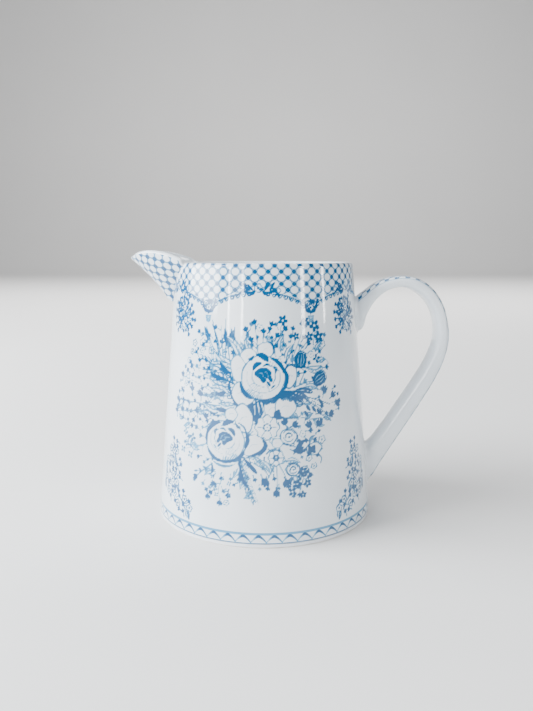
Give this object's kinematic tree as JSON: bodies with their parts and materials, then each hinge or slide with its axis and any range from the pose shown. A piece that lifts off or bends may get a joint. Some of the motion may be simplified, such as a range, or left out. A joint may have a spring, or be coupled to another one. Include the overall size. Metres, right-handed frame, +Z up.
{
  "type": "cream jug",
  "caption": "Tapered porcelain cream jug with a beak spout, a strap handle and a bare foot ring, printed with a blue lattice and flowers.",
  "frame": {"origin": "on the table under the middle of the jug's plan, halfway between the spout's tip and the handle's outer face; the body's own axis stands 10.34 mm towards the spout", "axes": "+Z up, +X towards the handle, the spout towards -X, the mirror plane at y = 0"},
  "size_m": [0.1266, 0.086, 0.1047],
  "materials": {
    "glazed_body": "gloss glaze over white porcelain with a blue print",
    "glazed_spout": "gloss glaze over white porcelain with a blue lattice print",
    "glazed_handle": "gloss glaze over white porcelain, a lattice strip on the outer face",
    "slip_seam": "porcelain slip under the glaze",
    "bare_foot": "ground smooth, unglazed and matt"
  },
  "bodies": {
    "root": {"body": "glazed_body", "foot_ring": "bare_foot", "spout": "glazed_spout", "spout_seam": "slip_seam", "handle": "glazed_handle", "upper_handle_seam": "slip_seam", "lower_handle_seam": "slip_seam"}
  },
  "joints": []
}
